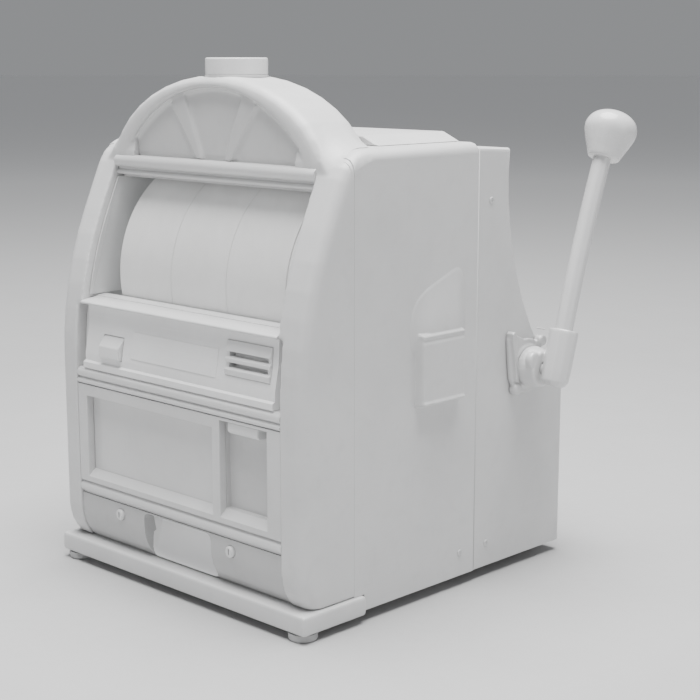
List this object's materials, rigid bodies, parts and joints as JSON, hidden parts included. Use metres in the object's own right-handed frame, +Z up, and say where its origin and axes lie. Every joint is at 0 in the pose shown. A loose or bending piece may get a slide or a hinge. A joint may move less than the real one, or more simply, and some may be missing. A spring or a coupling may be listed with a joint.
{
  "type": "slot machine",
  "caption": "Counter-top reel slot machine with a round crown, signal lamp, hinged front, payout tray and a spring-return pull lever on its right side.",
  "frame": {"origin": "on the surface that the feet stand on, under the middle of the bounding box with the lever at rest", "axes": "+Z up, -Y out of the front face, +X towards the lever side"},
  "size_m": [0.516, 0.5062, 0.6215],
  "materials": {
    "satin_paint": "satin",
    "inset_paint": "satin",
    "bright_trim": "polished",
    "plain_steel": "brushed",
    "zinc_plate": "zinc plated",
    "moulded_plastic": "moulded",
    "clear_glass": "clear",
    "award_glass": "back-printed",
    "reel_strip": "printed strip",
    "lens_plastic": "frosted",
    "foot_rubber": "matte",
    "knob_plastic": "polished"
  },
  "bodies": {
    "cabinet": {"plinth": "satin_paint", "foot_front_left": "foot_rubber", "foot_front_right": "foot_rubber", "foot_rear_left": "foot_rubber", "foot_rear_right": "foot_rubber", "base_plate": "zinc_plate", "cabinet_shell": "satin_paint", "rear_shell": "satin_paint", "top_lid": "satin_paint", "side_box": "satin_paint", "window_liner_left": "inset_paint", "window_liner_right": "inset_paint", "door_hinge": "plain_steel", "reel_motor_1": "zinc_plate", "reel_motor_2": "zinc_plate", "reel_motor_3": "zinc_plate", "reel_frame_left": "zinc_plate", "reel_frame_right": "zinc_plate", "reel_shaft": "plain_steel", "hopper": "zinc_plate", "coin_chute": "zinc_plate", "power_supply": "zinc_plate", "power_inlet": "moulded_plastic", "lever_escutcheon": "zinc_plate", "lever_bushing": "plain_steel", "lever_return_spring": "plain_steel", "lever_stop": "zinc_plate"},
    "front_door": {"front_casting": "satin_paint", "sunburst_panel": "award_glass", "arch_bar": "bright_trim", "window_bar": "bright_trim", "reel_glass": "clear_glass", "sill": "bright_trim", "button_panel": "inset_paint", "coin_acceptor": "moulded_plastic", "upper_rail": "bright_trim", "belly_frame": "satin_paint", "belly_glass": "award_glass", "bay_panel": "inset_paint", "bay_hood": "moulded_plastic", "lower_rail": "bright_trim", "lower_panel": "inset_paint", "payout_tray": "bright_trim", "candle_base": "bright_trim", "candle_lens": "lens_plastic", "candle_lamp": "lens_plastic"},
    "lever": {"lever_shaft": "plain_steel", "lever_crank": "plain_steel", "lever_hub": "bright_trim", "lever_socket": "bright_trim", "lever_rod": "plain_steel", "lever_knob": "knob_plastic"},
    "reel_1": {"reel_1": "reel_strip"},
    "reel_2": {"reel_2": "reel_strip"},
    "reel_3": {"reel_3": "reel_strip"},
    "spin_button": {"spin_button": "moulded_plastic"},
    "door_lock": {"door_lock": "bright_trim"},
    "reset_lock": {"reset_lock": "bright_trim"},
    "hopper_disc": {"hopper_disc": "plain_steel"},
    "power_rocker": {"power_rocker": "moulded_plastic"}
  },
  "joints": [
    {"name": "lever_pull", "type": "hinge", "parent": "cabinet", "child": "lever", "pos_m": [0.226, 0.1265, 0.2532], "axis": [1, 0, 0], "range_deg": [0, 65], "stiffness_Nm_per_rad": 1.3, "springref_deg": -28.65},
    {"name": "door_swing", "type": "hinge", "parent": "cabinet", "child": "front_door", "pos_m": [-0.2555, -0.171, 0.2612], "axis": [0, 0, -1], "range_deg": [0, 100]},
    {"name": "reel_1_spin", "type": "hinge", "parent": "cabinet", "child": "reel_1", "pos_m": [-0.13517, -0.0675, 0.3632], "axis": [1, 0, 0], "continuous": true},
    {"name": "reel_2_spin", "type": "hinge", "parent": "cabinet", "child": "reel_2", "pos_m": [-0.038, -0.0675, 0.3632], "axis": [1, 0, 0], "continuous": true},
    {"name": "reel_3_spin", "type": "hinge", "parent": "cabinet", "child": "reel_3", "pos_m": [0.05917, -0.0675, 0.3632], "axis": [1, 0, 0], "continuous": true},
    {"name": "spin_button_press", "type": "slide", "parent": "front_door", "child": "spin_button", "axis": [0, 1, 0], "range_m": [0, 0.003], "stiffness_N_per_m": 300, "springref_m": -0.002},
    {"name": "door_lock_turn", "type": "hinge", "parent": "front_door", "child": "door_lock", "pos_m": [-0.1416, -0.247, 0.0777], "axis": [0, 1, 0], "range_deg": [0, 90]},
    {"name": "reset_lock_turn", "type": "hinge", "parent": "front_door", "child": "reset_lock", "pos_m": [0.0587, -0.247, 0.0772], "axis": [0, 1, 0], "range_deg": [0, 90]},
    {"name": "hopper_disc_spin", "type": "hinge", "parent": "cabinet", "child": "hopper_disc", "pos_m": [-0.038, -0.1235, 0.0732], "axis": [0, 1, 0], "continuous": true},
    {"name": "power_rocker_tip", "type": "hinge", "parent": "cabinet", "child": "power_rocker", "pos_m": [-0.151, 0.2065, 0.0672], "axis": [1, 0, 0], "range_deg": [0, 12]}
  ]
}
